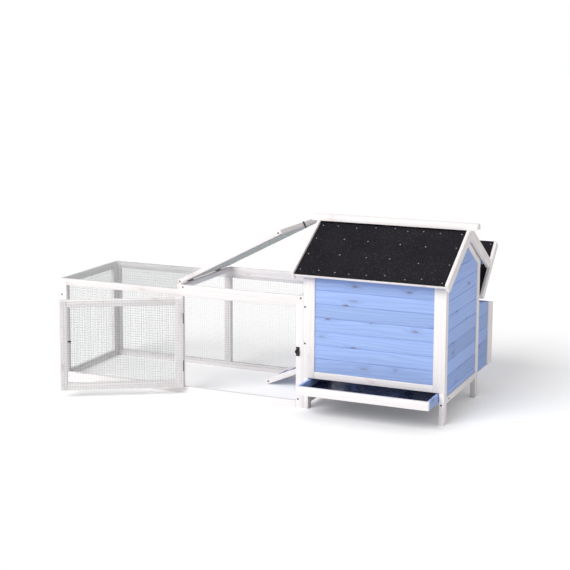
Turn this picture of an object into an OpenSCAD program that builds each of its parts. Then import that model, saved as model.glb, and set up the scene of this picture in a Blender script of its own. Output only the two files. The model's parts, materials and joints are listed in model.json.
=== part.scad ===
// Chicken coop: a raised boarded house with a felt roof, a nest box and a droppings tray,
// and a mesh run with a hinged door, a hinged lid and a ramp.
// Millimetres, +Z up, X along the front. The origin is on the ground, midway along the coop,
// under the middle of the front sill rail.

/* [Overall] */
// Length from the run's left end to the house's right wall
total_l = 2030; // [1950:10:2300]
// Length of the run, up to the house's left wall
run_l = 1340; // [1300:10:1500]
// Depth of the run and of the house
depth = 550; // [520:10:660]
// Height of the run's side panels
run_h = 516; // [470:2:540]
// Height of the house's front wall, up to the underside of the roof
wall_h = 657; // [650:1:760]
// How far the ridge lies behind the middle of the house
ridge_back = 30; // [0:1:40]

/* [Timber] */
// Thickness of frame timber
frame_t = 20; // [16:1:24]
// Width of the run's stiles and posts
stile_w = 38; // [30:1:46]
// Width of the run's rails
rail_w = 33; // [28:1:40]
// Width of the house's front stiles
house_stile_w = 56; // [44:1:70]
// Width of a corner post, along X
post_w = 24; // [20:1:28]
// Depth of a corner post, along Y
post_d = 40; // [34:1:48]
// Hairline joint between two pieces of timber
joint = 0.3; // [0.2:0.1:0.6]

/* [Boards] */
// Thickness of a tongue-and-groove board
board_t = 12; // [10:1:14]
// Pitch of the front boards
front_pitch = 65; // [55:1:80]
// Pitch of the side, rear and nest box boards
side_pitch = 68.5; // [55:0.5:80]
// Chamfer along a board's edges
board_c = 2.2; // [1:0.1:3]
// How far the boards lie behind the frame's face
recess = 5; // [2:0.5:7]

/* [House] */
// Height of the front wall's bottom rail above the ground
sill_z = 150; // [140:1:170]
// Width of the house's rails
house_rail_w = 32; // [26:1:38]
// Height of the side wall's bottom rail above the ground
side_rail_z = 97; // [90:1:105]
// Height of the low rail that closes the run under the house
low_rail_z = 23; // [15:1:30]
// Upright height of the sloping gable rails
gable_rail_h = 54; // [40:1:60]

/* [Roof] */
// Roof pitch in degrees
pitch = 31; // [28:1:36]
// Overhang of the eaves in front of the wall
eave_out = 34; // [28:1:45]
// Overhang at the run's side
gable_out_l = 48; // [38:1:50]
// Overhang at the free gable
gable_out_r = 22; // [20:1:40]
// Thickness of the roofing felt
felt_t = 3; // [2:0.5:4]
// Thickness of a bargeboard
barge_t = 16; // [12:1:18]
// Height of a bargeboard, square to the slope
barge_h = 46; // [40:1:60]
// How far a bargeboard stands above the felt
barge_up = 11; // [3:1:14]
// Radius of the half-round ridge cap
cap_r = 27; // [24:1:34]
// How far the ridge cap passes the bargeboards
cap_out = 31; // [15:1:40]

/* [Pop hole and ramp] */
// Height of the pop hole's sill
pop_z = 175; // [170:1:185]
// Height of the pop hole
pop_h = 265; // [220:5:300]
// Distance from the front to the pop hole
pop_y = 322; // [300:2:330]
// Width of the pop hole
pop_w = 178; // [150:2:184]
// Length of the ramp
ramp_l = 370; // [350:2:390]
// Height of the ramp's side rails
ramp_rail_h = 26; // [22:1:30]
// Thickness of the ramp's side rails
ramp_rail_t = 16; // [12:1:20]
// Slope of the lowered ramp in degrees
ramp_slope = 23.4; // [22:0.1:24]

/* [Droppings tray] */
// Height of the tray's walls
tray_h = 40; // [30:1:42]
// Thickness of the tray's front board
tray_front_t = 16; // [12:1:20]
// Length of the tray
tray_l = 500; // [460:5:505]
// How far the tray is pulled out
tray_out = 144; // [0:1:300]
// Thickness of the tray's sheet floor
sheet_t = 2; // [1.5:0.5:3]

/* [Nest box] */
// Depth of the nest box behind the rear wall
nest_d = 252; // [220:2:270]
// Height of the nest box's floor above the ground
nest_z = 112; // [105:1:125]
// Height of the nest box's top at the rear wall
nest_top = 464; // [440:2:480]
// Fall of the nest box's top, in degrees
nest_fall = 9.4; // [6:0.1:12]
// Width of a nest box corner trim
nest_trim_w = 78; // [40:1:90]
// Length of the nest box lid
nest_lid_l = 335; // [310:5:345]
// Height of the lid's side boards
nest_lid_h = 34; // [30:1:40]
// Width of the lid's side boards
nest_lid_side = 15; // [12:1:18]
// How far the nest box lid is raised, in degrees above level
nest_lid_angle = 43; // [0:1:48]

/* [Run door and lid] */
// Gap between the door and its frame
door_gap = 3; // [2:0.5:5]
// How far the run door stands open, in degrees
door_angle = 149; // [0:1:165]
// Height of the lid's curb above the run's panels
curb_h = 22; // [18:1:26]
// How far the run lid is raised, in degrees
lid_angle = 27.5; // [0:0.5:60]
// How far the closed lid reaches under the roof's edge
lid_under = 5; // [-5:1:6]
// Pitch of the bars that stand in for the wire mesh
mesh_pitch = 50; // [40:1:60]
// Width and thickness of those bars
mesh_bar = 2; // [1.5:0.5:3]
// How far a mesh laps onto its frame
mesh_lap = 12; // [8:1:14]
// How far the door's mesh laps onto the door's frame
door_mesh_lap = 30; // [12:1:34]

/* [Hardware] */
// Length of a butt hinge
hinge_l = 52; // [40:1:60]
// Radius of a hinge's knuckles
knuckle_r = 3.7; // [3:0.1:3.7]
// Radius of a hinge pin
pin_r = 2; // [1.5:0.1:2.2]
// Radial play of a knuckle on its pin
pin_play = 0.05; // [0.03:0.01:0.1]
// Thickness of a hinge's leaves
leaf_t = 1.5; // [1:0.1:2]
// Width of a hinge's leaves
leaf_w = 14; // [12:1:18]
// Distance from a hinge pin to the face it is screwed to
hinge_off = 4; // [4:0.1:5]
// Radius of the door bolt
bolt_r = 4; // [3:0.1:4.5]
// Play between parts of different moving bodies
play = 0.4; // [0.3:0.05:0.6]
// Radius of a screw head
screw_r = 4.5; // [3.5:0.1:5]
// Height of a screw head
screw_h = 1.5; // [1:0.1:2]

/* [Hidden] */
$fn = 32;

x_run = -total_l / 2;            // the run's left end
x_house = x_run + run_l;         // the house's left wall
x_end = total_l / 2;             // the house's right wall
y_front = -frame_t / 2;          // the front face
y_back = y_front + depth;        // the rear face
y_mid = (y_front + y_back) / 2;
x_mid = x_run + (run_l + stile_w / 2 + 11) / 2;  // middle post of the run
x_post_l = x_house + 1;          // outer face of the left corner posts
x_post_r = x_end - 1;            // outer face of the right corner posts
x_wall_l = x_house + recess + board_t;  // inner face of the left boards
x_wall_r = x_end - recess - board_t;    // inner face of the right boards
y_ridge = y_mid + ridge_back;    // under the ridge
half_roof = depth / 2 + ridge_back;              // front wall to ridge
ridge_z = wall_h + tan(pitch) * half_roof;       // underside of the roof at the ridge
slope_l = (half_roof + eave_out) / cos(pitch);   // length of a slope
x_roof_l = x_house - gable_out_l;
x_roof_r = x_end + gable_out_r;
barge_rise = board_t + felt_t + barge_up;        // top of a bargeboard above the underside
eave_strip_w = 9;
barge_over = 4;                                  // bargeboard past the eave
barge_foot_z = ridge_z - (slope_l + barge_over) * sin(pitch) + barge_rise * cos(pitch) - 34;

tray_z = side_rail_z + 8;                        // underside of the tray
tray_clear = 3;
x_tray_l = x_post_l + post_w + tray_clear;
x_tray_r = x_post_r - post_w - tray_clear;
tray_wall_t = 12;
runner_w = 24;
runner_h = 20;

nest_back_y = y_back + nest_d;
hole_side = 40;                                  // post to nest hole
hole_mid = 50;                                   // between the two nest holes
nest_hole_z = 150;
nest_hole_h = 262;
head_z = nest_top + 4;                           // rail that carries the nest lid's hinges
head_h = 48;
nest_hy = y_back + hinge_off;
nest_hz = nest_top - tan(nest_fall) * hinge_off + (nest_lid_h + play) / cos(nest_fall);
nest_lid_u0 = 5;
nest_lid_over = 13;

curb_z = run_h + curb_h;                         // top of the curb
lid_hx = x_mid - 5;
lid_hz = curb_z + hinge_off;
lid_u0 = hinge_off;                              // hinge pin to the lid's edge
lid_l = x_roof_l + lid_under - lid_hx - lid_u0;
lid_w0 = -hinge_off + 2.4;                       // underside of the lid from the pin
crossbar_w = 42;
crossbar_x = x_mid + stile_w / 2 - crossbar_w;
end_rail_w = 36;
lid_lap = 24;

door_x0 = x_mid + stile_w / 2 + door_gap;        // the door when closed
door_x1 = x_house - stile_w - door_gap;
door_z0 = rail_w + door_gap;
door_z1 = run_h - rail_w + 1 - door_gap;
door_hx = x_mid + stile_w / 2 + door_gap / 2;
door_hy = y_front - hinge_off;
door_rail_w = 36;

bolt_z = 272;
bolt_y = y_front - 7.5;
bolt_l = 48;
bolt_back = 16;                                  // how far the drawn bolt passes the stile

pop_clear = 10;
ramp_y0 = y_front + pop_y - pop_clear;
ramp_y1 = y_front + pop_y + pop_w + pop_clear;
ramp_hx = x_house + recess - hinge_off;
ramp_hz = pop_z - 3;
ramp_u0 = 14;
ramp_board_w = -18;
ramp_board_t = 8;

white = [0.95, 0.94, 0.95];
blue = [0.65, 0.75, 0.95];
felt_black = [0.15, 0.15, 0.17];
iron = [0.08, 0.08, 0.09];
wire = [0.75, 0.77, 0.8];
zinc = [0.3, 0.32, 0.4];

// A block between two corners
module block(a, b) translate(a) cube([b[0] - a[0], b[1] - a[1], b[2] - a[2]]);

// Height of the roof's underside at a given y
function roof_z(y) = ridge_z - tan(pitch) * abs(y - y_ridge);

// Everything under the roof's underside, lowered by drop
module under_roof(drop) {
    translate([x_run, 0, 0]) rotate([90, 0, 90]) linear_extrude(total_l)
        polygon([
            [y_front - 1, 0], [y_back + 1, 0], [y_back + 1, roof_z(y_back + 1) - drop],
            [y_ridge, ridge_z - drop], [y_front - 1, roof_z(y_front - 1) - drop],
        ]);
}

// One board along X: its face is at y = 0 and its back at y = board_t
module board(len, h) {
    rotate([90, 0, 90]) linear_extrude(len)
        polygon([
            [0, board_c], [board_c, 0], [board_t, 0],
            [board_t, h], [board_c, h], [0, h - board_c],
        ]);
}

// A wall of boards along X, from z0 to z1, with the first seam at z_seam
module boards(len, z0, z1, z_seam, board_pitch) {
    count = ceil((z1 - z_seam) / board_pitch);
    for (i = [-1:count - 1]) {
        low = max(z0, z_seam + i * board_pitch);
        high = min(z1, z_seam + (i + 1) * board_pitch);
        if (high - low > 3 * board_c)
            translate([0, 0, low]) board(len, high - low - joint);
    }
}

// Four battens round an opening, drawn flat: uprights run the full height
module batten_frame(w, h, t, side, rail) {
    block([0, 0, 0], [side, h, t]);
    block([w - side, 0, 0], [w, h, t]);
    block([side + joint, 0, 0], [w - side - joint, rail, t]);
    block([side + joint, h - rail, 0], [w - side - joint, h, t]);
}

// A flat grid of bars
module grid(w, h) {
    nx = round((w - mesh_bar) / mesh_pitch);
    ny = round((h - mesh_bar) / mesh_pitch);
    px = (w - mesh_bar) / nx;
    py = (h - mesh_bar) / ny;
    linear_extrude(mesh_bar) difference() {
        square([w, h]);
        for (i = [0:nx - 1], j = [0:ny - 1])
            translate([mesh_bar + i * px, mesh_bar + j * py])
                square([px - mesh_bar, py - mesh_bar]);
    }
}

// Upright: lays a flat XY drawing into the XZ plane, with its thickness towards -Y
module stand() rotate([90, 0, 0]) children();

// Hinge parts round the Z axis. A leaf lies along -X or +X, its back at y = off.
module knuckle_span(i) {
    third = hinge_l / 3;
    translate([0, 0, -hinge_l / 2 + i * third + (i == 0 ? 0 : joint)])
        cylinder(r = knuckle_r, h = third - (i == 1 ? 2 : 1) * joint);
}
module hinge_post(off = hinge_off) {
    third = hinge_l / 3;
    for (i = [0, 2]) {
        knuckle_span(i);
        block([-leaf_w / 2, off - leaf_t, -hinge_l / 2 + i * third + (i == 0 ? 0 : joint)],
              [0, off, -hinge_l / 2 + (i + 1) * third - (i == 0 ? joint : 0)]);
    }
    block([-leaf_w - knuckle_r, off - leaf_t, -hinge_l / 2],
          [-knuckle_r - play, off, hinge_l / 2]);
    cylinder(r = pin_r, h = hinge_l, center = true);
}
module hinge_leaf(off = hinge_off, w = leaf_w) {
    third = hinge_l / 3;
    difference() {
        union() {
            knuckle_span(1);
            block([0, off - leaf_t, -third / 2 + joint], [w / 2, off, third / 2 - joint]);
            block([knuckle_r + play, off - leaf_t, -hinge_l / 2],
                  [w + knuckle_r, off, hinge_l / 2]);
        }
        cylinder(r = pin_r + pin_play, h = hinge_l + 2, center = true);
    }
}

// A screw head that stands on the plane z = 0
module screw_head() {
    cylinder(r1 = screw_r, r2 = screw_r * 0.72, h = screw_h);
}

// Poses at rest
module lid_pose() {
    translate([lid_hx, 0, lid_hz]) rotate([0, -lid_angle, 0]) children();
}
module door_pose() {
    translate([door_hx, door_hy, 0]) rotate([0, 0, -door_angle])
        translate([-door_hx, -door_hy, 0]) children();
}
module nest_lid_pose() {
    translate([0, nest_hy, nest_hz]) rotate([nest_lid_angle, 0, 0]) children();
}
// The ramp lies along +X from its pin, its upper side at z = 0
module ramp_pose() {
    translate([ramp_hx, 0, ramp_hz]) mirror([1, 0, 0]) rotate([0, ramp_slope, 0]) children();
}

// ---- House ----
module corner_posts() color(white) {
    top = gable_rail_h + joint;
    intersection() {
        union() {
            for (x = [x_post_l, x_post_r - post_w]) {
                block([x, y_back - post_d, 0], [x + post_w, y_back, ridge_z]);
                difference() {
                    block([x, y_front, 0], [x + post_w, y_front + post_d, wall_h]);
                    block([x - 1, y_front - 1, sill_z - joint],
                          [x + post_w + 1, y_front + frame_t + joint, wall_h + 1]);
                }
            }
        }
        under_roof(top);
    }
}

module front_wall_frame() color(white) {
    top = wall_h - joint;
    for (x = [x_house, x_end - house_stile_w])
        block([x, y_front, sill_z], [x + house_stile_w, y_front + frame_t, top]);
    block([x_house + house_stile_w + joint, y_front, sill_z],
          [x_end - house_stile_w - joint, y_front + frame_t, sill_z + house_rail_w]);
}

module front_boards() color(blue) {
    low = sill_z + house_rail_w;
    inset = house_stile_w + joint;
    translate([x_house + inset, y_front + recess, 0])
        boards(x_end - x_house - 2 * inset, low + joint, wall_h - joint, low + front_pitch, front_pitch);
}

// Bottom rail and two sloping rails of a gable, as the right wall has them
module gable_frame(rail_z) {
    y0 = y_front + post_d + joint;
    y1 = y_back - post_d - joint;
    block([x_end - frame_t, y0, rail_z], [x_end, y1, rail_z + 30]);
    for (side = [0, 1])
        difference() {
            intersection() {
                block([x_end - frame_t, side == 0 ? y_front + frame_t + joint : y_ridge + joint / 2, wall_h / 2],
                      [x_end, side == 0 ? y_ridge - joint / 2 : y_back, ridge_z]);
                under_roof(joint);
            }
            under_roof(gable_rail_h);
        }
}

module gable_boards(rail_z) {
    y0 = y_front + post_d + joint;
    y1 = y_back - post_d - joint;
    intersection() {
        translate([x_end - recess, y0, 0]) rotate([0, 0, 90])
            boards(y1 - y0, rail_z + 30 + joint, ridge_z, 151, side_pitch);
        under_roof(gable_rail_h + joint);
    }
}

// Carries the right wall over to the left wall
module to_left() translate([x_house + x_end, 0, 0]) mirror([1, 0, 0]) children();

module right_wall_frame() color(white) gable_frame(side_rail_z);
module right_boards() color(blue) gable_boards(side_rail_z);
module left_wall_frame() color(white) to_left() gable_frame(low_rail_z);
module left_boards() color(blue) difference() {
    to_left() gable_boards(low_rail_z);
    block([x_house - 1, y_front + pop_y, pop_z],
          [x_wall_l + 1, y_front + pop_y + pop_w, pop_z + pop_h]);
}

module rear_wall_frame() color(white) {
    x0 = x_post_l + post_w + joint;
    x1 = x_post_r - post_w - joint;
    block([x0, y_back - frame_t, side_rail_z], [x1, y_back, side_rail_z + 30]);
    block([x0, y_back - frame_t, head_z], [x1, y_back, head_z + head_h]);
}

module rear_boards() color(blue) {
    x0 = x_post_l + post_w + joint;
    x1 = x_post_r - post_w - joint;
    xc = (x0 + x1) / 2;
    difference() {
        for (span = [[side_rail_z + 30 + joint, head_z - joint],
                     [head_z + head_h + joint, roof_z(y_back) - gable_rail_h / 4]])
            translate([x1, y_back - recess, 0]) rotate([0, 0, 180])
                boards(x1 - x0, span[0], span[1], 151, side_pitch);
        for (x = [x0 + hole_side, xc + hole_mid / 2])
            block([x, y_back - frame_t - 5, nest_hole_z],
                  [x + xc - hole_mid / 2 - x0 - hole_side, y_back + 1, nest_hole_z + nest_hole_h]);
    }
}

module tray_runners() color(white) {
    y0 = y_front + post_d + joint;
    y1 = y_back - post_d - joint;
    top = tray_z - joint;
    block([x_wall_l, y0, top - runner_h], [x_wall_l + runner_w + 4, y1, top]);
    block([x_end - frame_t - runner_w, y0, top - runner_h], [x_end - frame_t, y1, top]);
}

module perch_brackets() color(white) {
    for (x = [x_wall_l, x_wall_r - 18])
        difference() {
            block([x, y_mid - 62, 322], [x + 18, y_mid - 2, 372]);
            translate([x - 1, y_mid - 32, 352]) rotate([0, 90, 0]) cylinder(r = 15.2, h = 20);
            block([x - 1, y_mid - 47.2, 352], [x + 19, y_mid - 16.8, 373]);
        }
}
module perch() color(blue)
    translate([x_wall_l + 1, y_mid - 32, 352]) rotate([0, 90, 0])
        cylinder(r = 15, h = x_wall_r - x_wall_l - 2);

// ---- Roof ----
// Local frame of a slope: X along the ridge, -Y down the slope, Z square to it
module slope(side) {
    translate([0, y_ridge, ridge_z]) mirror([0, side, 0]) rotate([pitch, 0, 0]) children();
}
module roof_boards() color(blue) {
    n = 5;
    len = (slope_l - eave_strip_w) / n;
    for (side = [0, 1], i = [0:n - 1])
        slope(side) block([x_roof_l + barge_t + joint, -(i + 1) * len + joint, 0],
                          [x_roof_r - barge_t - joint, -i * len - joint / 2, board_t]);
}
module eave_strips() color(white)
    for (side = [0, 1])
        slope(side) block([x_roof_l + barge_t + joint, -slope_l, 0],
                          [x_roof_r - barge_t - joint, -slope_l + eave_strip_w, board_t]);
module roof_felt() color(felt_black)
    for (side = [0, 1])
        slope(side) block([x_roof_l + barge_t + joint, -slope_l + 1, board_t],
                          [x_roof_r - barge_t - joint, -2, board_t + felt_t]);
module bargeboards() color(white)
    for (side = [0, 1], x = [x_roof_l, x_roof_r - barge_t])
        intersection() {
            slope(side) block([x, -slope_l - barge_over, barge_rise - barge_h],
                              [x + barge_t, barge_h, barge_rise]);
            translate([0, y_ridge, 0]) mirror([0, side, 0])
                block([x - 1, -depth, barge_foot_z], [x + barge_t + 1, -joint / 2, 2 * ridge_z]);
        }
module ridge_cap() color(white) {
    seat = barge_rise / cos(pitch) + joint;
    spring = seat - cap_r * tan(pitch) + 6;      // where the half round starts
    translate([x_roof_l - cap_out + 3, y_ridge, ridge_z]) rotate([90, 0, 90])
        linear_extrude(x_roof_r - x_roof_l + 2 * cap_out)
            difference() {
                union() {
                    translate([0, spring]) circle(r = cap_r, $fn = 64);
                    translate([-cap_r, seat - cap_r * tan(pitch)]) square([2 * cap_r, 6]);
                }
                polygon([
                    [0, seat], [2 * cap_r, seat - 2 * cap_r * tan(pitch)],
                    [2 * cap_r, -3 * cap_r], [-2 * cap_r, -3 * cap_r],
                    [-2 * cap_r, seat - 2 * cap_r * tan(pitch)],
                ]);
            }
}

// ---- Nest box ----
// Everything under the nest box's sloping top, lowered by drop
module under_nest_top(drop) {
    translate([x_run, 0, 0]) rotate([90, 0, 90]) linear_extrude(total_l)
        polygon([
            [y_back - 1, 0], [nest_back_y + 1, 0],
            [nest_back_y + 1, nest_top - drop - tan(nest_fall) * (nest_d + 1)],
            [y_back - 1, nest_top - drop + tan(nest_fall)],
        ]);
}
module nest_side_boards() color(blue)
    intersection() {
        for (side = [0, 1])
            translate([side * (x_house + x_end), 0, 0]) mirror([side, 0, 0])
                translate([x_end - recess, y_back + joint, 0]) rotate([0, 0, 90])
                    boards(nest_d - nest_trim_w - 2 * joint, nest_z, nest_top, nest_z + 66, side_pitch);
        under_nest_top(0);
    }
module nest_corner_trims() color(white)
    intersection() {
        for (x = [x_house, x_end - frame_t])
            block([x, nest_back_y - nest_trim_w, nest_z], [x + frame_t, nest_back_y, nest_top]);
        under_nest_top(0);
    }
module nest_back_boards() color(blue)
    intersection() {
        translate([x_end - frame_t - joint, nest_back_y - recess, 0]) rotate([0, 0, 180])
            boards(x_end - x_house - 2 * (frame_t + joint), nest_z, nest_top, nest_z + 66, side_pitch);
        under_nest_top(0);
    }
module nest_floor() color(white)
    block([x_house + frame_t + joint, y_back + joint, nest_z],
          [x_end - frame_t - joint, nest_back_y - recess - board_t - joint, nest_z + board_t]);
module nest_divider() color(white) {
    xc = (x_house + x_end) / 2;
    intersection() {
        block([xc - board_t / 2, y_back + joint, nest_z + board_t + joint],
              [xc + board_t / 2, nest_back_y - recess - board_t - joint, nest_top]);
        under_nest_top(6);
    }
}

// Lid frame: Y away from the pin, Z square to the lid, upper side at z = 0
module nest_lid_frame() color(white) {
    x0 = x_house - nest_lid_over;
    x1 = x_end + nest_lid_over;
    bar = 30;
    nest_lid_pose() {
        for (x = [x0, x1 - nest_lid_side])
            block([x, nest_lid_u0, -nest_lid_h], [x + nest_lid_side, nest_lid_l, 0]);
        for (y = [nest_lid_u0, nest_lid_l - bar])
            block([x0 + nest_lid_side + joint, y, -nest_lid_h],
                  [x1 - nest_lid_side - joint, y + bar, -felt_t - board_t - joint]);
    }
}
module nest_lid_board() color(blue)
    nest_lid_pose() block([x_house - nest_lid_over + nest_lid_side + joint, nest_lid_u0, -felt_t - board_t],
                          [x_end + nest_lid_over - nest_lid_side - joint, nest_lid_l, -felt_t]);
module nest_lid_felt() color(felt_black)
    nest_lid_pose() block([x_house - nest_lid_over + nest_lid_side + joint, nest_lid_u0, -felt_t],
                          [x_end + nest_lid_over - nest_lid_side - joint, nest_lid_l, 0]);

nest_hinge_xs = [x_house + 130, x_end - 130];
module nest_hinge_posts() color(iron)
    for (x = nest_hinge_xs)
        translate([x, nest_hy, nest_hz]) rotate([0, 90, 180]) hinge_post();
module nest_hinge_leaves() color(iron)
    nest_lid_pose() for (x = nest_hinge_xs)
        translate([x, 0, 0]) rotate([-90, 0, 90]) hinge_leaf(0);

// ---- Droppings tray ----
tray_y = y_front - tray_out;
module tray_front() color(white)
    block([x_tray_l, tray_y, tray_z], [x_tray_r, tray_y + tray_front_t, tray_z + tray_h]);
module tray_walls() color(blue) {
    y0 = tray_y + tray_front_t + joint;
    y1 = tray_y + tray_l;
    for (x = [x_tray_l, x_tray_r - tray_wall_t])
        block([x, y0, tray_z], [x + tray_wall_t, y1, tray_z + tray_h]);
    block([x_tray_l + tray_wall_t + joint, y1 - tray_wall_t, tray_z],
          [x_tray_r - tray_wall_t - joint, y1, tray_z + tray_h]);
}
module tray_floor() color(zinc)
    block([x_tray_l + tray_wall_t + joint, tray_y + tray_front_t + joint, tray_z + 4],
          [x_tray_r - tray_wall_t - joint, tray_y + tray_l - tray_wall_t - joint, tray_z + 4 + sheet_t]);

// ---- Run ----
module run_front_frame() color(white) {
    translate([x_run, y_front + frame_t, 0]) stand() batten_frame(run_l, run_h, frame_t, stile_w, rail_w);
    block([x_mid - stile_w / 2, y_front, rail_w + joint],
          [x_mid + stile_w / 2, y_front + frame_t, run_h - rail_w - joint]);
}
module run_rear_frame() color(white) {
    translate([x_run, y_back, 0]) stand() batten_frame(run_l, run_h, frame_t, stile_w, rail_w);
    block([x_mid - stile_w / 2, y_back - frame_t, rail_w + joint],
          [x_mid + stile_w / 2, y_back, run_h - rail_w - joint]);
}
module run_left_frame() color(white) {
    len = depth - 2 * frame_t - 2 * joint;
    translate([x_run, y_front + frame_t + joint, 0]) rotate([90, 0, 90])
        batten_frame(len, run_h, frame_t, stile_w, rail_w);
}

mesh_in = stile_w - mesh_lap;                    // frame edge to mesh edge
door_mesh_in = stile_w - door_mesh_lap;
module run_front_mesh() color(wire)
    translate([x_run + mesh_in, y_front + frame_t + mesh_bar, rail_w - mesh_lap]) stand()
        grid(x_mid - x_run - stile_w / 2 + mesh_lap - mesh_in, run_h - 2 * (rail_w - mesh_lap));
module run_rear_mesh() color(wire)
    translate([x_run + mesh_in, y_back - frame_t, rail_w - mesh_lap]) stand()
        grid(run_l - 2 * mesh_in, run_h - 2 * (rail_w - mesh_lap));
module run_left_mesh() color(wire)
    translate([x_run + frame_t, y_front + frame_t + mesh_in, rail_w - mesh_lap]) rotate([90, 0, 90])
        grid(depth - 2 * frame_t - 2 * mesh_in, run_h - 2 * (rail_w - mesh_lap));
module run_top_mesh() color(wire)
    translate([x_run + 8, y_front + 8, run_h])
        grid(crossbar_x - joint - x_run - 8, depth - 16);

module crossbar() color(white)
    block([crossbar_x, y_front + frame_t + joint, run_h],
          [crossbar_x + crossbar_w, y_back - frame_t - joint, curb_z]);
module lid_curb() color(white) {
    for (y = [y_front, y_back - frame_t])
        block([x_mid + 5, y, run_h], [x_house, y + frame_t, curb_z]);
    block([x_house - end_rail_w, y_front + frame_t + joint, run_h],
          [x_house, y_back - frame_t - joint, curb_z]);
}

// ---- Run lid: X away from the pin, upper side towards +Z ----
module lid_frame() color(white)
    lid_pose() translate([lid_u0, y_front, lid_w0])
        batten_frame(lid_l, depth, frame_t, stile_w, stile_w);
module lid_mesh() color(wire)
    lid_pose() translate([lid_u0 + lid_lap, y_front + lid_lap, lid_w0 - mesh_bar])
        grid(lid_l - 2 * lid_lap, depth - 2 * lid_lap);
lid_hinge_ys = [y_mid - 152, y_mid + 152];
module lid_hinge_posts() color(iron)
    for (y = lid_hinge_ys)
        translate([lid_hx, y, lid_hz]) rotate([-90, 0, 0]) hinge_post();
module lid_hinge_leaves() color(iron)
    lid_pose() for (y = lid_hinge_ys)
        translate([0, y, 0]) rotate([-90, 0, 0]) rotate([0, 0, -90]) hinge_leaf();
module lid_screws() color(iron)
    lid_pose() {
        for (x = [lid_u0 + 9, lid_u0 + lid_l - 16]) {
            translate([x, y_front, lid_w0 + frame_t / 2]) rotate([90, 0, 0]) screw_head();
            translate([x, y_front + depth, lid_w0 + frame_t / 2]) rotate([-90, 0, 0]) screw_head();
        }
        for (y = [y_front + stile_w / 2, y_back - stile_w / 2])
            translate([lid_u0 + lid_l - stile_w / 2, y, lid_w0]) rotate([180, 0, 0]) screw_head();
    }

latch_w = 12;
latch_l = 34;
latch_t = 3;
latch_x = lid_u0 + lid_l;
latch_pivot = lid_w0 + frame_t / 2 + 4;
module lid_latch() color(iron)
    lid_pose() translate([latch_x + play, y_mid, latch_pivot]) {
        block([0, -latch_w / 2, 8 - latch_l], [latch_t, latch_w / 2, 8]);
        translate([latch_t, 0, 0]) rotate([0, 90, 0]) cylinder(r = screw_r, h = screw_h);
    }
// Angle bracket on the curb's end rail: its lip holds the turned latch down
lip_z = lid_hz + latch_pivot - 11;
module lid_keep() color(iron) {
    x1 = x_house - end_rail_w;
    x0 = lid_hx + latch_x;
    block([x1 - 2, y_mid + 8, run_h + 2], [x1, y_mid + 26, lip_z + 2]);
    block([x0, y_mid + 8, lip_z], [x1 - 2, y_mid + 26, lip_z + 2]);
}

// ---- Run door, drawn closed and swung open by door_pose ----
module door_frame() color(white)
    door_pose() translate([door_x0, y_front + frame_t, door_z0]) stand()
        batten_frame(door_x1 - door_x0, door_z1 - door_z0, frame_t, stile_w, door_rail_w);
module door_mesh() color(wire)
    door_pose() translate([door_x0 + door_mesh_in, y_front + frame_t + mesh_bar, door_z0 + door_mesh_in]) stand()
        grid(door_x1 - door_x0 - 2 * door_mesh_in, door_z1 - door_z0 - 2 * door_mesh_in);
door_hinge_zs = [137, 375];
module door_hinge_posts() color(iron)
    for (z = door_hinge_zs) translate([door_hx, door_hy, z]) hinge_post();
module door_hinge_leaves() color(iron)
    door_pose() for (z = door_hinge_zs) translate([door_hx, door_hy, z]) hinge_leaf();

bolt_x0 = door_x1 - stile_w - bolt_back;
strap_w = 6;
module bolt_strap(x, bore) {
    difference() {
        block([x, bolt_y - 6.5, bolt_z - 6.5], [x + strap_w, y_front - leaf_t, bolt_z + 6.5]);
        translate([x - 1, bolt_y, bolt_z]) rotate([0, 90, 0]) cylinder(r = bore, h = strap_w + 2);
    }
}
module bolt_plate() color(iron)
    door_pose() {
        block([door_x1 - stile_w + 1, y_front - leaf_t, bolt_z - 14], [door_x1 - 2, y_front, bolt_z + 14]);
        for (x = [door_x1 - 20, door_x1 - 8]) bolt_strap(x, bolt_r + play);
    }
module bolt_rod() color(iron)
    door_pose() translate([bolt_x0, bolt_y, bolt_z]) {
        rotate([0, 90, 0]) cylinder(r = bolt_r, h = bolt_l);
        translate([5, 0, 0]) rotate([135, 0, 0]) cylinder(r = 2.5, h = 15);
    }
module bolt_keep() color(iron) {
    x0 = x_house - stile_w + 2;
    block([x0, y_front - leaf_t, bolt_z - 22], [x0 + 18, y_front, bolt_z + 22]);
    for (x = [x0, x0 + 12]) bolt_strap(x, bolt_r + play);
}

// ---- Ramp ----
module ramp_rails() color(white)
    ramp_pose() for (y = [ramp_y0, ramp_y1 - ramp_rail_t])
        block([ramp_u0, y, -ramp_rail_h], [ramp_l, y + ramp_rail_t, 0]);
module ramp_board() color(blue)
    ramp_pose() block([ramp_u0, ramp_y0 + ramp_rail_t + joint, ramp_board_w],
                      [ramp_l, ramp_y1 - ramp_rail_t - joint, ramp_board_w + ramp_board_t]);
module ramp_cleats() color(white)
    ramp_pose() {
        low = ramp_board_w + ramp_board_t;
        y0 = ramp_y0 + ramp_rail_t + joint;
        y1 = ramp_y1 - ramp_rail_t - joint;
        block([ramp_u0, y0, low], [ramp_u0 + 30, y1, -hinge_off]);
        for (u = [90:60:ramp_l - 30])
            block([u, y0, low], [u + 12, y1, -hinge_off]);
    }
ramp_hinge_ys = [y_front + pop_y + 40, y_front + pop_y + pop_w - 40];
module ramp_hinge_posts() color(iron)
    for (y = ramp_hinge_ys)
        translate([ramp_hx, y, ramp_hz]) rotate([-90, -90, 0]) hinge_post();
module ramp_hinge_leaves() color(iron)
    ramp_pose() for (y = ramp_hinge_ys)
        translate([0, y, 0]) rotate([-90, 0, 0]) hinge_leaf(w = 30);
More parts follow.
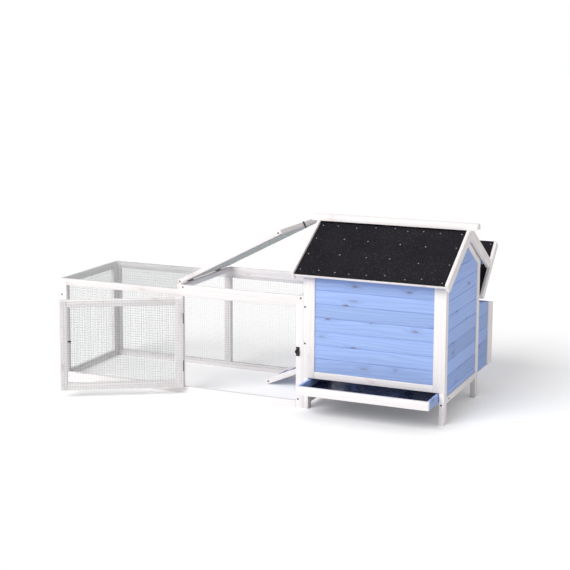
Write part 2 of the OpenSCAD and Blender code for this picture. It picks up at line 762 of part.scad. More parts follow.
module ramp_screws() color(iron)
    ramp_pose() for (u = [ramp_u0 + 18, ramp_l - 12]) {
        translate([u, ramp_y0, -ramp_rail_h / 2]) rotate([90, 0, 0]) screw_head();
        translate([u, ramp_y1, -ramp_rail_h / 2]) rotate([-90, 0, 0]) screw_head();
    }

// ---- Screw heads on the fixed frames ----
module front_screws() {
    spots = [
        [x_run + 12, 433], [x_mid + 19, run_h + 12], [x_house - 14, run_h + 12],
        [x_house - 26, 42], [x_house + 8, 488], [x_house + 8, 314], [x_post_r - 14, 95],
    ];
    for (s = spots) translate([s[0], y_front, s[1]]) rotate([90, 0, 0]) screw_head();
}
module frame_screws() color(iron) {
    front_screws();
    for (z = [60, 433], x = [x_run + 12, x_mid])
        translate([x, y_back, z]) rotate([-90, 0, 0]) screw_head();
    for (y = [y_front + 50, y_back - 50], z = [rail_w / 2, run_h - rail_w / 2])
        translate([x_run, y, z]) rotate([0, -90, 0]) screw_head();
    translate([x_end, y_front + 70, side_rail_z + 15]) rotate([0, 90, 0]) screw_head();
}

corner_posts();
front_wall_frame();
front_boards();
right_wall_frame();
right_boards();
left_wall_frame();
left_boards();
rear_wall_frame();
rear_boards();
tray_runners();
roof_boards();
roof_felt();
bargeboards();
eave_strips();
ridge_cap();
perch();
perch_brackets();
nest_side_boards();
nest_corner_trims();
nest_back_boards();
nest_floor();
nest_divider();
nest_lid_board();
nest_lid_felt();
nest_lid_frame();
nest_hinge_posts();
nest_hinge_leaves();
tray_front();
tray_walls();
tray_floor();
run_front_frame();
run_front_mesh();
run_left_frame();
run_left_mesh();
run_rear_frame();
run_rear_mesh();
run_top_mesh();
lid_curb();
crossbar();
lid_frame();
lid_mesh();
lid_hinge_posts();
lid_hinge_leaves();
lid_screws();
lid_latch();
lid_keep();
door_frame();
door_mesh();
door_hinge_posts();
door_hinge_leaves();
bolt_plate();
bolt_rod();
bolt_keep();
ramp_rails();
ramp_board();
ramp_cleats();
ramp_hinge_posts();
ramp_hinge_leaves();
ramp_screws();
frame_screws();
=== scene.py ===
"""Chicken coop: finishes for its timber, felt and ironwork, with wire mesh, nails and screws."""

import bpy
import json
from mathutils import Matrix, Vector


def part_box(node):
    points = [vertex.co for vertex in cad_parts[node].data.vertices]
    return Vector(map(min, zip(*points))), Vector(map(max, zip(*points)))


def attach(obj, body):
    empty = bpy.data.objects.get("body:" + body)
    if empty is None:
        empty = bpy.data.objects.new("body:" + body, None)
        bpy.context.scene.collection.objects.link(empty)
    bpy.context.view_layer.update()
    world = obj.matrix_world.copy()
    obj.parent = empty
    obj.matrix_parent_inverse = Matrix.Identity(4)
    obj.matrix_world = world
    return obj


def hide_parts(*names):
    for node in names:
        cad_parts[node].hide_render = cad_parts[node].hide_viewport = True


bl_info = {
    "name": "Chicken coop",
    "version": (1, 0, 0),
    "blender": (4, 5, 0),
    "location": "View3D > Sidebar > Coop",
    "description": "Finishes a chicken coop's timber, felt, wire mesh and ironwork",
    "category": "Object",
}

import json
import math
import random

import bmesh
import bpy
import numpy as np
from bpy.props import FloatProperty, FloatVectorProperty, IntProperty, PointerProperty
from mathutils import Matrix, Vector, noise

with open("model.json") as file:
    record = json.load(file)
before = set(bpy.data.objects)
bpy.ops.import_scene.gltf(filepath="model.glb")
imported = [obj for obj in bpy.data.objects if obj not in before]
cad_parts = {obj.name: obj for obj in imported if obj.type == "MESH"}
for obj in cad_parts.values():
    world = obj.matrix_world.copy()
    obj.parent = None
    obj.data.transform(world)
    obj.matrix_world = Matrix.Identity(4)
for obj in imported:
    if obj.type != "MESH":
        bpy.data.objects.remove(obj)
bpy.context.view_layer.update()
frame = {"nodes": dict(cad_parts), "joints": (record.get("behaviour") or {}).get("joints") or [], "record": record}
MM = 0.001

# Rest angles of the moving panels, in degrees, as the frame has them
LID_ANGLE = 27.5
DOOR_ANGLE = 149.0
NEST_LID_ANGLE = 43.0
RAMP_SLOPE = 23.4
ROOF_PITCH = 31.0

BLUE_BOARDS = (
    "front_boards", "right_boards", "left_boards", "rear_boards", "nest_side_boards",
    "nest_back_boards",
)
BLUE_TIMBER = ("roof_boards", "perch", "nest_lid_board", "tray_walls", "ramp_board")
WHITE_TIMBER = (
    "corner_posts", "front_wall_frame", "right_wall_frame", "left_wall_frame", "rear_wall_frame",
    "tray_runners", "bargeboards", "eave_strips", "ridge_cap", "perch_brackets",
    "nest_corner_trims", "nest_floor", "nest_divider", "nest_lid_frame", "tray_front",
    "run_front_frame", "run_left_frame", "run_rear_frame", "lid_curb", "crossbar",
    "lid_frame", "door_frame", "ramp_rails", "ramp_cleats",
)
IRONWORK = (
    "door_hinge_posts", "door_hinge_leaves", "lid_hinge_posts", "lid_hinge_leaves",
    "nest_hinge_posts", "nest_hinge_leaves", "ramp_hinge_posts", "ramp_hinge_leaves",
    "bolt_plate", "bolt_rod", "bolt_keep", "lid_latch", "lid_keep",
)
SCREWS = ("frame_screws", "lid_screws", "ramp_screws")

# Angles, in degrees, that an edge has to pass to be bevelled or to stay sharp in shading
BEVEL_ANGLE = 30
SHARP_ANGLE = 35
MERGE_DISTANCE = 0.01 * MM

FRAME_SCREW_R, FRAME_SCREW_H = 4.5 * MM, 1.5 * MM
HINGE_SCREW_R, HINGE_SCREW_H = 3.1 * MM, 0.7 * MM
# A hinge's two screws lie this far either side of its middle, and this far from its pin
HINGE_SCREW_SPREAD = 17 * MM
HINGE_SCREW_REACH = 11 * MM
RAMP_SCREW_REACH = 24 * MM
# Middles of the hinges along their pins
DOOR_HINGE_Z = (0.137, 0.375)
LID_HINGE_OFFSETS = (-0.152, 0.152)
NEST_HINGE_X = (0.455, 0.885)
RAMP_HINGE_Y = (0.352, 0.450)
# A leaf's outer face lies this far from the pin's axis
LEAF_FACE = 2.5 * MM
NEST_LEAF_FACE = -1.5 * MM

STAPLE_L, STAPLE_R = 10 * MM, 0.55 * MM
# A staple lies this far over the mesh, on top of its gap to it
STAPLE_GAP, STAPLE_LIFT = 0.1 * MM, 0.6 * MM
# The first and last staple lie this far from a panel's corners
STAPLE_MARGIN = 20 * MM
WIRE_SIDES = 5
# A wire strays once in this length
WIRE_BEND = 120 * MM
# The two layers of wires lie this share of a radius off the panel's middle
WIRE_LAYER = 0.85
NAIL_MARGIN = 20 * MM
# Rows of felt nails, as shares of the way up the slope
NAIL_ROWS = (0.07, 0.36, 0.64, 0.90)
PANELS = (
    "run_front_mesh", "run_left_mesh", "run_rear_mesh", "run_top_mesh", "lid_mesh", "door_mesh",
)


# The camera's place in metres, its turns in degrees, its lens in mm and its shift
CAMERA_AT = (2.7082, -5.6362, 1.7991)
CAMERA_TURNS = (23.903, -8.452, 0.198)
CAMERA_LENS = 84.51
CAMERA_SHIFT = (0.00505, -0.112)

WORLD_STRENGTH = 0.50
FLOOR_GLOW = 0.15
# Name, strength, direction and angular size of each sun
SUNS = (
    ("key", 2.15, (0.30, 0.72, -0.63), 40),
    ("fill", 0.12, (-0.8, 0.2, -0.55), 60),
)


# ---- Places ----
def turn(axis, degrees):
    return Matrix.Rotation(math.radians(degrees), 4, axis)


def hinge_point(joint):
    for j in frame["joints"]:
        if j["name"] == joint:
            return Vector(j["pos_m"])
    raise RuntimeError(f"the frame has no joint {joint}")


def panel_pose(node):
    """The turn that takes a closed or level panel to where it rests."""
    spins = {
        "lid": ("run_lid_hinge", "Y", -LID_ANGLE),
        "door": ("run_door_hinge", "Z", -DOOR_ANGLE),
        "nest_lid": ("nest_lid_hinge", "X", NEST_LID_ANGLE),
        "ramp": ("ramp_hinge", "Y", -RAMP_SLOPE),
    }
    for start, (joint, axis, degrees) in spins.items():
        if node.startswith(start):
            at = Matrix.Translation(hinge_point(joint))
            return at @ turn(axis, degrees) @ at.inverted()
    return Matrix.Identity(4)


def flat_panel(node):
    """The panel's pose, and the corners of its box before that pose."""
    pose = panel_pose(node)
    back = pose.inverted()
    points = np.array([back @ v.co for v in frame["nodes"][node].data.vertices])
    return pose, points.min(0), points.max(0)


def axis_place(at, axis):
    """Takes +Z to the axis and the origin to the place."""
    return Matrix.Translation(at) @ Vector((0, 0, 1)).rotation_difference(axis).to_matrix().to_4x4()


def body_of_node(node):
    for name, nodes in frame["record"]["behaviour"]["bodies"].items():
        if node in nodes:
            return name
    raise RuntimeError(f"no body holds {node}")


# ---- Meshes ----
def keep_mesh(bm, name, material, node, replaces=True):
    """Makes a piece from bm that rides with the node's body."""
    mesh = bpy.data.meshes.new(name)
    bm.to_mesh(mesh)
    bm.free()
    for face in mesh.polygons:
        face.use_smooth = True
    mesh.set_sharp_from_angle(angle=math.radians(SHARP_ANGLE))
    piece = bpy.data.objects.new(name, mesh)
    bpy.context.scene.collection.objects.link(piece)
    piece.data.materials.append(material)
    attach(piece, body_of_node(node))
    if replaces:
        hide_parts(node)
    return piece


def merged_copy(node):
    """A bmesh of the CAD node with its doubles merged and its flat faces whole."""
    bm = bmesh.new()
    bm.from_mesh(frame["nodes"][node].data)
    bmesh.ops.remove_doubles(bm, verts=bm.verts, dist=MERGE_DISTANCE)
    bmesh.ops.dissolve_limit(
        bm, angle_limit=math.radians(0.5), verts=bm.verts, edges=bm.edges, delimit=set()
    )
    return bm


def soften(bm, width, segments=2):
    """Bevels every edge that turns by more than BEVEL_ANGLE."""
    sharp = [
        e for e in bm.edges
        if len(e.link_faces) == 2 and e.calc_face_angle(0) > math.radians(BEVEL_ANGLE)
    ]
    bmesh.ops.bevel(
        bm, geom=sharp, offset=width, offset_type="OFFSET", segments=segments,
        profile=0.5, affect="EDGES", clamp_overlap=True, material=-1,
    )


def loose_parts(bm):
    """Lists of the vertices that hang together."""
    bm.verts.ensure_lookup_table()
    left = set(bm.verts)
    parts = []
    for start in bm.verts:
        if start not in left:
            continue
        left.discard(start)
        part, edge = [start], [start]
        while edge:
            for e in edge.pop().link_edges:
                for v in e.verts:
                    if v in left:
                        left.discard(v)
                        part.append(v)
                        edge.append(v)
        parts.append(part)
    return parts


def part_axes(points, turned):
    """The part's own axes, longest first, as rows."""
    if turned:
        spread = points - points.mean(0)
        axes = np.linalg.eigh(spread.T @ spread)[1].T
    else:
        axes = np.eye(3)
    spans = [np.ptp(points @ a) for a in axes]
    return [axes[i] for i in np.argsort(spans)[::-1]]


def mark_grain(bm, seed, turned):
    """Writes each timber's grain coordinates, in metres along and across it, and its tone."""
    grain = bm.verts.layers.float_vector.new("grain")
    tone = bm.verts.layers.float.new("tone")
    draw = random.Random(seed)
    for part in loose_parts(bm):
        points = np.array([v.co for v in part])
        axes = part_axes(points, turned)
        centre = points.mean(0)
        offset = [draw.uniform(-40, 40) for _ in range(3)]
        shade = draw.random()
        for v, p in zip(part, points):
            v[grain] = Vector([float((p - centre) @ a) + o for a, o in zip(axes, offset)])
            v[tone] = shade


# ---- Node helpers ----
def node_of(tree, kind, **values):
    n = tree.nodes.new(kind)
    for key, value in values.items():
        if key in n.inputs:
            n.inputs[key].default_value = value
        else:
            setattr(n, key, value)
    return n


def math_node(tree, operation, a, b):
    n = node_of(tree, "ShaderNodeMath", operation=operation)
    for i, value in enumerate((a, b)):
        if isinstance(value, (int, float)):
            n.inputs[i].default_value = value
        else:
            tree.links.new(value, n.inputs[i])
    return n.outputs[0]


def spread_of(tree, value, low, high, to_low=0.0, to_high=1.0):
    n = node_of(tree, "ShaderNodeMapRange", interpolation_type="SMOOTHSTEP")
    for i, number in ((1, low), (2, high), (3, to_low), (4, to_high)):
        n.inputs[i].default_value = number
    tree.links.new(value, n.inputs[0])
    return n.outputs[0]


def mix_colour(tree, factor, a, b, blend="MIX"):
    n = node_of(tree, "ShaderNodeMix", data_type="RGBA", blend_type=blend)
    for socket, value in ((n.inputs[0], factor), (n.inputs[6], a), (n.inputs[7], b)):
        if isinstance(value, (int, float)):
            socket.default_value = value
        elif isinstance(value, (tuple, list)):
            socket.default_value = (*value, 1.0)
        else:
            tree.links.new(value, socket)
    return n.outputs[2]


def noise_of(tree, vector, scale, detail=3.0, roughness=0.5):
    n = node_of(tree, "ShaderNodeTexNoise")
    n.inputs["Scale"].default_value = scale
    n.inputs["Detail"].default_value = detail
    n.inputs["Roughness"].default_value = roughness
    tree.links.new(vector, n.inputs["Vector"])
    return n


def scaled(tree, vector, scale):
    n = node_of(tree, "ShaderNodeVectorMath", operation="MULTIPLY")
    n.inputs[1].default_value = scale
    tree.links.new(vector, n.inputs[0])
    return n.outputs[0]


def effect_group(name, inputs, outputs):
    group = bpy.data.node_groups.new(name, "ShaderNodeTree")
    for label, kind in inputs:
        group.interface.new_socket(name=label, in_out="INPUT", socket_type=kind)
    for label, kind in outputs:
        group.interface.new_socket(name=label, in_out="OUTPUT", socket_type=kind)
    return group, node_of(group, "NodeGroupInput"), node_of(group, "NodeGroupOutput")


def softwood_group():
    """Grain streaks, year rings and knots of a sawn softwood board."""
    group, given, result = effect_group(
        "Softwood",
        [("Grain", "NodeSocketVector")],
        [("Streaks", "NodeSocketFloat"), ("Rings", "NodeSocketFloat"),
         ("Knots", "NodeSocketFloat"), ("Halo", "NodeSocketFloat"),
         ("Height", "NodeSocketFloat")],
    )
    grain = given.outputs["Grain"]
    cells = node_of(group, "ShaderNodeTexVoronoi", feature="F1", voronoi_dimensions="2D")
    cells.inputs["Scale"].default_value = 1.0
    cells.inputs["Randomness"].default_value = 0.95
    ragged = noise_of(group, scaled(group, grain, (40.0, 90.0, 40.0)), 1.0, 3.0, 0.6)
    knot_at = node_of(group, "ShaderNodeVectorMath", operation="MULTIPLY_ADD")
    knot_at.inputs[1].default_value = (0.22, 0.22, 0.0)
    group.links.new(ragged.outputs["Color"], knot_at.inputs[0])
    group.links.new(scaled(group, grain, (4.6, 13.0, 1.0)), knot_at.inputs[2])
    group.links.new(knot_at.outputs[0], cells.inputs["Vector"])
    chance = node_of(group, "ShaderNodeSeparateColor")
    group.links.new(cells.outputs["Color"], chance.inputs[0])
    kept = spread_of(group, chance.outputs[0], 0.44, 0.52)
    far = cells.outputs["Distance"]
    core = spread_of(group, far, 0.02, 0.12, 1.0, 0.0)
    depth = spread_of(group, chance.outputs[1], 0.0, 1.0, 0.35, 1.0)
    knots = math_node(group, "MULTIPLY", math_node(group, "MULTIPLY", kept, core), depth)
    halo = math_node(group, "MULTIPLY", kept, spread_of(group, far, 0.08, 0.34, 1.0, 0.0))
    # Rings part and run round a knot
    bent = node_of(group, "ShaderNodeVectorMath", operation="ADD")
    push = node_of(group, "ShaderNodeCombineXYZ")
    group.links.new(math_node(group, "MULTIPLY", halo, 0.014), push.inputs[1])
    group.links.new(grain, bent.inputs[0])
    group.links.new(push.outputs[0], bent.inputs[1])
    drift = noise_of(group, scaled(group, bent.outputs[0], (1.3, 9.0, 9.0)), 1.0, 2.0)
    rings = node_of(group, "ShaderNodeTexWave", wave_type="BANDS", bands_direction="Y")
    rings.inputs["Scale"].default_value = 19.0
    rings.inputs["Distortion"].default_value = 3.2
    rings.inputs["Detail"].default_value = 2.0
    rings.inputs["Detail Scale"].default_value = 0.6
    ring_at = node_of(group, "ShaderNodeVectorMath", operation="MULTIPLY_ADD")
    ring_at.inputs[1].default_value = (0.06, 1.0, 1.0)
    shift = node_of(group, "ShaderNodeCombineXYZ")
    group.links.new(math_node(group, "MULTIPLY", drift.outputs[0], 0.09), shift.inputs[1])
    group.links.new(bent.outputs[0], ring_at.inputs[0])
    group.links.new(shift.outputs[0], ring_at.inputs[2])
    group.links.new(ring_at.outputs[0], rings.inputs["Vector"])
    fine = noise_of(group, scaled(group, bent.outputs[0], (5.0, 210.0, 210.0)), 1.0, 4.0, 0.62)
    broad = noise_of(group, scaled(group, bent.outputs[0], (1.6, 22.0, 22.0)), 1.0, 3.0, 0.55)
    streaks = math_node(group, "ADD", math_node(group, "MULTIPLY", fine.outputs[0], 0.55),
                        math_node(group, "MULTIPLY", broad.outputs[0], 0.45))
    streaks = spread_of(group, streaks, 0.34, 0.66)
    height = math_node(group, "ADD", math_node(group, "MULTIPLY", streaks, 0.6),
                       math_node(group, "MULTIPLY", rings.outputs[1], 0.4))
    for label, socket in (("Streaks", streaks), ("Rings", rings.outputs[1]), ("Knots", knots),
                          ("Halo", halo), ("Height", height)):
        group.links.new(socket, result.inputs[label])
    return group


def mottle_group():
    """Blotches and fine specks for metal, felt and sheet."""
    group, given, result = effect_group(
        "Mottle",
        [("Place", "NodeSocketVector"), ("Size", "NodeSocketFloat")],
        [("Blotch", "NodeSocketFloat"), ("Speck", "NodeSocketFloat"),
         ("Height", "NodeSocketFloat")],
    )
    at = node_of(group, "ShaderNodeVectorMath", operation="SCALE")
    group.links.new(given.outputs["Place"], at.inputs[0])
    group.links.new(given.outputs["Size"], at.inputs["Scale"])
    blotch = noise_of(group, at.outputs[0], 1.0, 4.0, 0.55)
    fine = noise_of(group, at.outputs[0], 11.0, 2.0, 0.6)
    speck = node_of(group, "ShaderNodeTexVoronoi", feature="F1")
    speck.inputs["Scale"].default_value = 14.0
    group.links.new(at.outputs[0], speck.inputs["Vector"])
    group.links.new(spread_of(group, blotch.outputs[0], 0.35, 0.65), result.inputs["Blotch"])
    chance = node_of(group, "ShaderNodeSeparateColor")
    group.links.new(speck.outputs["Color"], chance.inputs[0])
    bright = math_node(group, "MULTIPLY", spread_of(group, chance.outputs[0], 0.80, 0.84),
                       spread_of(group, speck.outputs["Distance"], 0.16, 0.34, 1.0, 0.0))
    group.links.new(bright, result.inputs["Speck"])
    group.links.new(fine.outputs[0], result.inputs["Height"])
    return group


def new_material(name):
    material = bpy.data.materials.new(name)
    material.use_nodes = True
    tree = material.node_tree
    shader = tree.nodes["Principled BSDF"]
    return material, tree, shader


def group_node(tree, name, **sockets):
    n = tree.nodes.new("ShaderNodeGroup")
    n.node_tree = bpy.data.node_groups[name]
    for key, value in sockets.items():
        if isinstance(value, (int, float)):
            n.inputs[key].default_value = value
        else:
            tree.links.new(value, n.inputs[key])
    return n


def raise_surface(tree, shader, height, distance, strength=1.0):
    bump = node_of(tree, "ShaderNodeBump")
    bump.inputs["Strength"].default_value = strength
    bump.inputs["Distance"].default_value = distance
    tree.links.new(height, bump.inputs["Height"])
    tree.links.new(bump.outputs[0], shader.inputs["Normal"])


def timber_material(name, base, light, dark, knot, knot_strength, tone_span, relief):
    """Stained softwood: the stain lies thinner on rings and knots, and each board has its tone."""
    material, tree, shader = new_material(name)
    grain = node_of(tree, "ShaderNodeAttribute", attribute_name="grain")
    tone = node_of(tree, "ShaderNodeAttribute", attribute_name="tone")
    wood = group_node(tree, "Softwood", Grain=grain.outputs["Vector"])
    colour = base
    for output, share, other in (
        ("Streaks", 0.38, light), ("Rings", 0.34, dark), ("Halo", 0.30, dark),
        ("Knots", knot_strength, knot),
    ):
        part = math_node(tree, "MULTIPLY", wood.outputs[output], share)
        colour = mix_colour(tree, part, colour, other)
    shade = spread_of(tree, tone.outputs["Fac"], 0.0, 1.0, 1.0 - tone_span, 1.0)
    grey = node_of(tree, "ShaderNodeCombineColor")
    for i in range(3):
        tree.links.new(shade, grey.inputs[i])
    colour = mix_colour(tree, 1.0, colour, grey.outputs[0], "MULTIPLY")
    tree.links.new(colour, shader.inputs["Base Color"])
    rough = spread_of(tree, wood.outputs["Streaks"], 0.0, 1.0, 0.62, 0.78)
    tree.links.new(rough, shader.inputs["Roughness"])
    shader.inputs["Specular IOR Level"].default_value = 0.35
    raise_surface(tree, shader, wood.outputs["Height"], relief)
    return material


def metal_material(name, base, other, metallic, rough, size, relief, coat=0.0):
    material, tree, shader = new_material(name)
    place = node_of(tree, "ShaderNodeTexCoord")
    mottle = group_node(tree, "Mottle", Place=place.outputs["Object"], Size=size)
    blotch = mottle.outputs["Blotch"]
    tree.links.new(mix_colour(tree, blotch, base, other), shader.inputs["Base Color"])
    worn = spread_of(tree, blotch, 0, 1, rough - 0.07, rough + 0.1)
    tree.links.new(worn, shader.inputs["Roughness"])
    shader.inputs["Metallic"].default_value = metallic
    shader.inputs["Coat Weight"].default_value = coat
    raise_surface(tree, shader, mottle.outputs["Height"], relief)
    return material


def felt_material(name, base, speck):
    """Mineral-faced roofing felt: a dark mat with grains that catch the light."""
    material, tree, shader = new_material(name)
    place = node_of(tree, "ShaderNodeTexCoord")
    mottle = group_node(tree, "Mottle", Place=place.outputs["Object"], Size=19.0)
    broad = noise_of(tree, place.outputs["Object"], 5.0, 3.0)
    colour = mix_colour(tree, spread_of(tree, broad.outputs[0], 0.35, 0.65), base,
                        tuple(c * 1.35 for c in base))
    grains = math_node(tree, "MULTIPLY", mottle.outputs["Speck"], 0.42)
    colour = mix_colour(tree, grains, colour, speck)
    tree.links.new(colour, shader.inputs["Base Color"])
    shader.inputs["Roughness"].default_value = 0.92
    shader.inputs["Specular IOR Level"].default_value = 0.16
    raise_surface(tree, shader, mottle.outputs["Height"], 0.0009)
    return material


# ---- Settings ----
class CoopFinish(bpy.types.PropertyGroup):
    blue: FloatVectorProperty(
        name="Blue stain", description="Colour of the stained boards",
        subtype="COLOR", default=(0.385, 0.53, 0.95), min=0, max=1,
    )
    white: FloatVectorProperty(
        name="White wash", description="Colour of the white-washed timber",
        subtype="COLOR", default=(0.90, 0.87, 0.87), min=0, max=1,
    )
    felt: FloatVectorProperty(
        name="Felt", description="Colour of the roofing felt",
        subtype="COLOR", default=(0.0115, 0.0105, 0.0135), min=0, max=1,
    )
    arris: FloatProperty(
        name="Arris", description="Rounding of the sawn timber's edges",
        default=1.1 * MM, unit="LENGTH",
    )


class CoopWire(bpy.types.PropertyGroup):
    pitch: FloatProperty(
        name="Mesh pitch", description="Distance between two wires of the welded mesh",
        default=12.7 * MM, unit="LENGTH",
    )
    thickness: FloatProperty(
        name="Wire thickness", description="Diameter of a wire", default=0.8 * MM, unit="LENGTH",
    )
    wander: FloatProperty(
        name="Wander", description="How far a wire strays from a straight line",
        default=0.4 * MM, unit="LENGTH",
    )
    staple_gap: FloatProperty(
        name="Staple spacing", description="Distance between two staples",
        default=95 * MM, unit="LENGTH",
    )


class CoopFixings(bpy.types.PropertyGroup):
    nail_r: FloatProperty(
        name="Nail head radius", description="Radius of a felt nail's head",
        default=3.6 * MM, unit="LENGTH",
    )
    nail_rows: IntProperty(
        name="Nail rows", description="Rows of nails between the eave and the ridge", default=4,
    )


# ---- Pieces ----
class COOP_OT_finishes(bpy.types.Operator):
    """Builds the materials"""

    bl_idname = "coop.finishes"
    bl_label = "Finishes"

    def execute(self, context):
        look = context.scene.coop_finish
        softwood_group()
        mottle_group()
        blue, white = tuple(look.blue), tuple(look.white)
        timber_material(
            "blue stain", blue, tuple(min(1, c * 1.22) for c in blue),
            tuple(c * 0.74 for c in blue), (0.17, 0.11, 0.16), 0.8, 0.20, 0.0005,
        )
        timber_material(
            "white wash", white, tuple(min(0.97, c * 1.05) for c in white),
            (0.80, 0.74, 0.74), (0.58, 0.46, 0.40), 0.42, 0.04, 0.0004,
        )
        felt_material("roofing felt", tuple(look.felt), (0.34, 0.33, 0.36))
        metal_material(
            "galvanised wire", (0.40, 0.43, 0.43), (0.52, 0.55, 0.55),
            0.2, 0.55, 90.0, 0.00005,
        )
        metal_material(
            "black iron", (0.012, 0.012, 0.014), (0.022, 0.022, 0.025),
            0.25, 0.42, 160.0, 0.00012, 0.25,
        )
        # Glossy metal sheet of the tray floor. Its dark navy colour is painted shade from the house above it, not
        # the sheet's own colour.
        metal_material(
            "tray sheet", (0.035, 0.05, 0.11), (0.06, 0.08, 0.16),
            0.75, 0.26, 22.0, 0.00008,
        )
        metal_material(
            "nail heads", (0.42, 0.42, 0.44), (0.60, 0.60, 0.62),
            0.9, 0.38, 200.0, 0.0001,
        )
        return {"FINISHED"}


def finish_timber(nodes, material, width, turned):
    for i, node in enumerate(nodes):
        bm = merged_copy(node)
        soften(bm, width)
        mark_grain(bm, f"{node} {i}", turned)
        piece = keep_mesh(bm, f"{node}_timber", bpy.data.materials[material], node)


class COOP_OT_timber(bpy.types.Operator):
    """Rounds the arrises of every board and batten and gives each its grain"""

    bl_idname = "coop.timber"
    bl_label = "Timber"

    def execute(self, context):
        arris = context.scene.coop_finish.arris
        finish_timber(BLUE_BOARDS, "blue stain", 0.35 * arris, False)
        finish_timber(BLUE_TIMBER, "blue stain", 0.8 * arris, True)
        finish_timber(WHITE_TIMBER, "white wash", arris, True)
        return {"FINISHED"}


class COOP_OT_felt(bpy.types.Operator):
    """Lays the roofing felt on the roof and the nest lid"""

    bl_idname = "coop.felt"
    bl_label = "Felt"

    def execute(self, context):
        for node in ("roof_felt", "nest_lid_felt"):
            bm = merged_copy(node)
            soften(bm, 0.6 * MM, 1)
            piece = keep_mesh(bm, f"{node}_sheet", bpy.data.materials["roofing felt"], node)
        return {"FINISHED"}


class COOP_OT_ironwork(bpy.types.Operator):
    """Rounds the edges of the hinges, the bolt, its keep and the latch"""

    bl_idname = "coop.ironwork"
    bl_label = "Ironwork"

    def execute(self, context):
        for node in IRONWORK:
            bm = merged_copy(node)
            soften(bm, 0.25 * MM, 1)
            piece = keep_mesh(bm, f"{node}_iron", bpy.data.materials["black iron"], node)
        bm = merged_copy("tray_floor")
        soften(bm, 0.4 * MM, 1)
        piece = keep_mesh(bm, "tray_floor_sheet", bpy.data.materials["tray sheet"], "tray_floor")
        return {"FINISHED"}


def screw_head(bm, place, radius, height):
    """A pan head with a driver recess. place takes its foot and its +Z axis to where it sits."""
    made = bmesh.ops.create_cone(
        bm, cap_ends=True, segments=16, radius1=radius, radius2=radius * 0.74, depth=height,
        matrix=place @ Matrix.Translation((0, 0, height / 2)),
    )
    top = max(
        {f for v in made["verts"] for f in v.link_faces},
        key=lambda f: (place.inverted() @ f.calc_center_median()).z,
    )
    bmesh.ops.inset_individual(bm, faces=[top], thickness=radius * 0.34, depth=0)
    bmesh.ops.translate(
        bm, verts=top.verts, vec=place.to_3x3() @ Vector((0, 0, -height * 0.55))
    )


def leaf_screws():
    """Where the screws of every hinge leaf go: (node, place, spot before that place)."""
    spots = []

    def add(stem, pose, centres, post_turn, leaf_turn, reach, face):
        """Two screws in the fixed and two in the moving leaf of every hinge."""
        for centre in centres:
            at = Matrix.Translation(centre)
            for along in (-HINGE_SCREW_SPREAD, HINGE_SCREW_SPREAD):
                post_spot = (-HINGE_SCREW_REACH, LEAF_FACE, along)
                spots.append((f"{stem}_hinge_posts", at @ post_turn, post_spot))
                leaf_spot = (reach, face, along)
                spots.append((f"{stem}_hinge_leaves", pose @ at @ leaf_turn, leaf_spot))

    pin = hinge_point("run_door_hinge")
    add(
        "door", panel_pose("door"), [(pin.x, pin.y, z) for z in DOOR_HINGE_Z],
        Matrix.Identity(4), Matrix.Identity(4), HINGE_SCREW_REACH, LEAF_FACE,
    )
    pin = hinge_point("run_lid_hinge")
    add(
        "lid", panel_pose("lid"), [(pin.x, pin.y + d, pin.z) for d in LID_HINGE_OFFSETS],
        turn("X", -90), turn("X", -90) @ turn("Z", -90), HINGE_SCREW_REACH, LEAF_FACE,
    )
    pin = hinge_point("nest_lid_hinge")
    add(
        "nest", panel_pose("nest_lid"), [(x, pin.y, pin.z) for x in NEST_HINGE_X],
        turn("Z", 180) @ turn("Y", 90), turn("Z", 90) @ turn("X", -90),
        HINGE_SCREW_REACH, NEST_LEAF_FACE,
    )
    pin = hinge_point("ramp_hinge")
    mirror = Matrix.Scale(-1, 4, (1, 0, 0))
    add(
        "ramp", panel_pose("ramp"), [(pin.x, y, pin.z) for y in RAMP_HINGE_Y],
        turn("Y", -90) @ turn("X", -90), mirror @ turn("X", -90), RAMP_SCREW_REACH, LEAF_FACE,
    )
    return spots


class COOP_OT_screws(bpy.types.Operator):
    """Puts a recessed head on every screw, and screws in the hinge leaves"""

    bl_idname = "coop.screws"
    bl_label = "Screws"

    def execute(self, context):
        iron = bpy.data.materials["black iron"]
        for node in SCREWS:
            cad = merged_copy(node)
            bm = bmesh.new()
            for part in loose_parts(cad):
                points = np.array([v.co for v in part])
                axis = Vector(part_axes(points, True)[2])
                centre = Vector(points.mean(0))
                offsets = [Vector(p) - centre for p in points]
                along = [o.dot(axis) for o in offsets]
                wide = [(o - axis * a).length for o, a in zip(offsets, along)]
                above = [w for w, a in zip(wide, along) if a > 0]
                below = [w for w, a in zip(wide, along) if a < 0]
                top, foot = sum(above) / len(above), sum(below) / len(below)
                if top > foot:
                    axis = -axis
                place = axis_place(centre - axis * (FRAME_SCREW_H / 2), axis)
                screw_head(bm, place, FRAME_SCREW_R, FRAME_SCREW_H)
            cad.free()
            keep_mesh(bm, f"{node}_heads", iron, node)
        by_node = {}
        for node, place, at in leaf_screws():
            bm = by_node.setdefault(node, bmesh.new())
            spot = place @ Vector(at)
            outward = (place.to_3x3() @ Vector((0, -1, 0))).normalized()
            screw_head(bm, axis_place(spot, outward), HINGE_SCREW_R, HINGE_SCREW_H)
        for node, bm in by_node.items():
            keep_mesh(bm, f"{node}_screws", iron, node, replaces=False)
        return {"FINISHED"}


